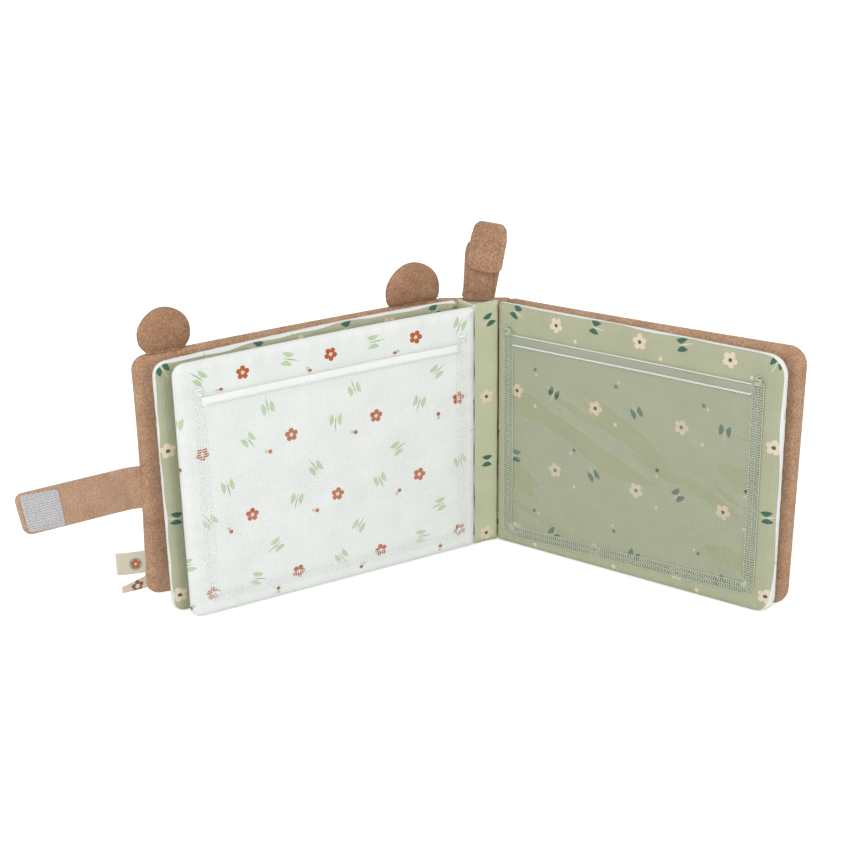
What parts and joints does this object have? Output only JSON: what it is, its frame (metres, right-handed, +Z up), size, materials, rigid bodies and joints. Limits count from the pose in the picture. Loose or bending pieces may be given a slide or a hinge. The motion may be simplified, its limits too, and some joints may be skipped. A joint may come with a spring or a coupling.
{
  "type": "fabric photo album",
  "caption": "Soft padded fabric photo album with plush covers, round ears, a hook-and-loop closing strap, a hanging loop and cloth leaves that turn and hold prints in clear pockets.",
  "frame": {"origin": "on the surface that the album stands on, under the centre of its bounding box as it stands half open", "axes": "+Z up, +Y away from the reader through the spine, +X to the reader's right, from the front cover to the back cover"},
  "size_m": [0.4146, 0.1616, 0.1912],
  "materials": {
    "plush": "short brown pile",
    "green_jersey": "printed sage green jersey",
    "white_jersey": "printed white jersey",
    "padding": "wadding",
    "clear_film": "clear soft film",
    "stitching": "zigzag thread over film",
    "hook_tape": "hook and loop tape",
    "ribbon": "folded woven ribbon"
  },
  "bodies": {
    "spine": {"spine_cover": "plush", "spine_lining": "plush", "spine_pad": "padding", "gutter_strip": "green_jersey", "hanger_rear_strap": "plush", "hanger_tab": "plush", "hanger_loop_patch": "hook_tape"},
    "front_cover": {"front_cover_outer": "plush", "front_cover_lining": "plush", "front_cover_pad": "padding", "closure_strap_root": "plush"},
    "back_cover": {"back_cover_outer": "plush", "back_cover_lining": "plush", "back_cover_pad": "padding", "closure_loop_patch": "hook_tape"},
    "first_leaf": {"first_leaf_front": "green_jersey", "first_leaf_back": "white_jersey", "first_leaf_pad": "padding", "first_leaf_front_pocket_border": "stitching", "first_leaf_front_pocket_window": "clear_film", "first_leaf_front_pocket_hem": "clear_film", "first_leaf_back_pocket_border": "stitching", "first_leaf_back_pocket_window": "clear_film", "first_leaf_back_pocket_hem": "clear_film", "middle_leaf_edge": "white_jersey"},
    "middle_leaf": {"middle_leaf_front": "white_jersey", "middle_leaf_back": "green_jersey", "middle_leaf_pad": "padding", "middle_leaf_front_pocket_border": "stitching", "middle_leaf_front_pocket_window": "clear_film", "middle_leaf_front_pocket_hem": "clear_film", "middle_leaf_back_pocket_border": "stitching", "middle_leaf_back_pocket_window": "clear_film", "middle_leaf_back_pocket_hem": "clear_film"},
    "last_leaf": {"last_leaf_front": "green_jersey", "last_leaf_back": "white_jersey", "last_leaf_pad": "padding", "last_leaf_front_pocket_border": "stitching", "last_leaf_front_pocket_window": "clear_film", "last_leaf_front_pocket_hem": "clear_film", "last_leaf_back_pocket_border": "stitching", "last_leaf_back_pocket_window": "clear_film", "last_leaf_back_pocket_hem": "clear_film"},
    "closure_band": {"closure_strap_band": "plush"},
    "closure_end": {"closure_strap_end": "plush", "closure_hook_patch": "hook_tape"},
    "hanger_flap": {"hanger_flap": "plush", "hanger_hook_patch": "hook_tape"},
    "spine_ear": {"spine_ear": "plush"},
    "fore_edge_ear": {"fore_edge_ear": "plush"},
    "upper_tag": {"upper_tag": "ribbon"},
    "lower_tag": {"lower_tag": "ribbon"}
  },
  "joints": [
    {"name": "front_cover_fold", "type": "hinge", "parent": "spine", "child": "front_cover", "pos_m": [0.00951, 0.07357, 0], "axis": [0, 0, 1], "range_deg": [-31.5, 58.5]},
    {"name": "first_leaf_fold", "type": "hinge", "parent": "spine", "child": "first_leaf", "pos_m": [0.01881, 0.06427, 0], "axis": [0, 0, 1], "range_deg": [-30.5, 56.6]},
    {"name": "middle_leaf_turn", "type": "hinge", "parent": "first_leaf", "child": "middle_leaf", "pos_m": [0.02921, 0.05653, 0], "axis": [0, 0, -1], "range_deg": [-114, 0]},
    {"name": "back_cover_fold", "type": "hinge", "parent": "spine", "child": "back_cover", "pos_m": [0.05251, 0.07357, 0], "axis": [0, 0, -1], "range_deg": [-33, 57]},
    {"name": "last_leaf_fold", "type": "hinge", "parent": "spine", "child": "last_leaf", "pos_m": [0.04321, 0.06427, 0], "axis": [0, 0, -1], "range_deg": [-32.8, 56.6]},
    {"name": "closure_strap_fold", "type": "hinge", "parent": "front_cover", "child": "closure_band", "pos_m": [-0.15351, -0.02749, 0], "axis": [0, 0, 1], "range_deg": [-14, 76]},
    {"name": "closure_strap_wrap", "type": "hinge", "parent": "closure_band", "child": "closure_end", "pos_m": [-0.18768, -0.06226, 0], "axis": [0, 0, 1], "range_deg": [0, 90]},
    {"name": "hanger_flap_peel", "type": "hinge", "parent": "spine", "child": "hanger_flap", "pos_m": [0.03403, 0.06607, 0.18425], "axis": [0.9962, 0, -0.0872], "range_deg": [-150, 0]},
    {"name": "spine_ear_tilt", "type": "hinge", "parent": "front_cover", "child": "spine_ear", "pos_m": [-0.00371, 0.06548, 0.14902], "axis": [-0.8526, -0.5225, 0], "range_deg": [-28, 28], "stiffness_Nm_per_rad": 0.01},
    {"name": "fore_edge_ear_tilt", "type": "hinge", "parent": "front_cover", "child": "fore_edge_ear", "pos_m": [-0.13067, -0.01232, 0.14902], "axis": [-0.8526, -0.5225, 0], "range_deg": [-28, 28], "stiffness_Nm_per_rad": 0.01},
    {"name": "upper_tag_swing", "type": "hinge", "parent": "front_cover", "child": "upper_tag", "pos_m": [-0.14774, -0.02278, 0], "axis": [0, 0, -1], "range_deg": [-50, 50]},
    {"name": "lower_tag_swing", "type": "hinge", "parent": "front_cover", "child": "lower_tag", "pos_m": [-0.14774, -0.02278, 0], "axis": [0, 0, -1], "range_deg": [-50, 50]}
  ],
  "couplings": [
    {"joint": "first_leaf_fold", "follows": "front_cover_fold", "ratio": 0.96581},
    {"joint": "last_leaf_fold", "follows": "back_cover_fold", "ratio": 0.99123}
  ]
}
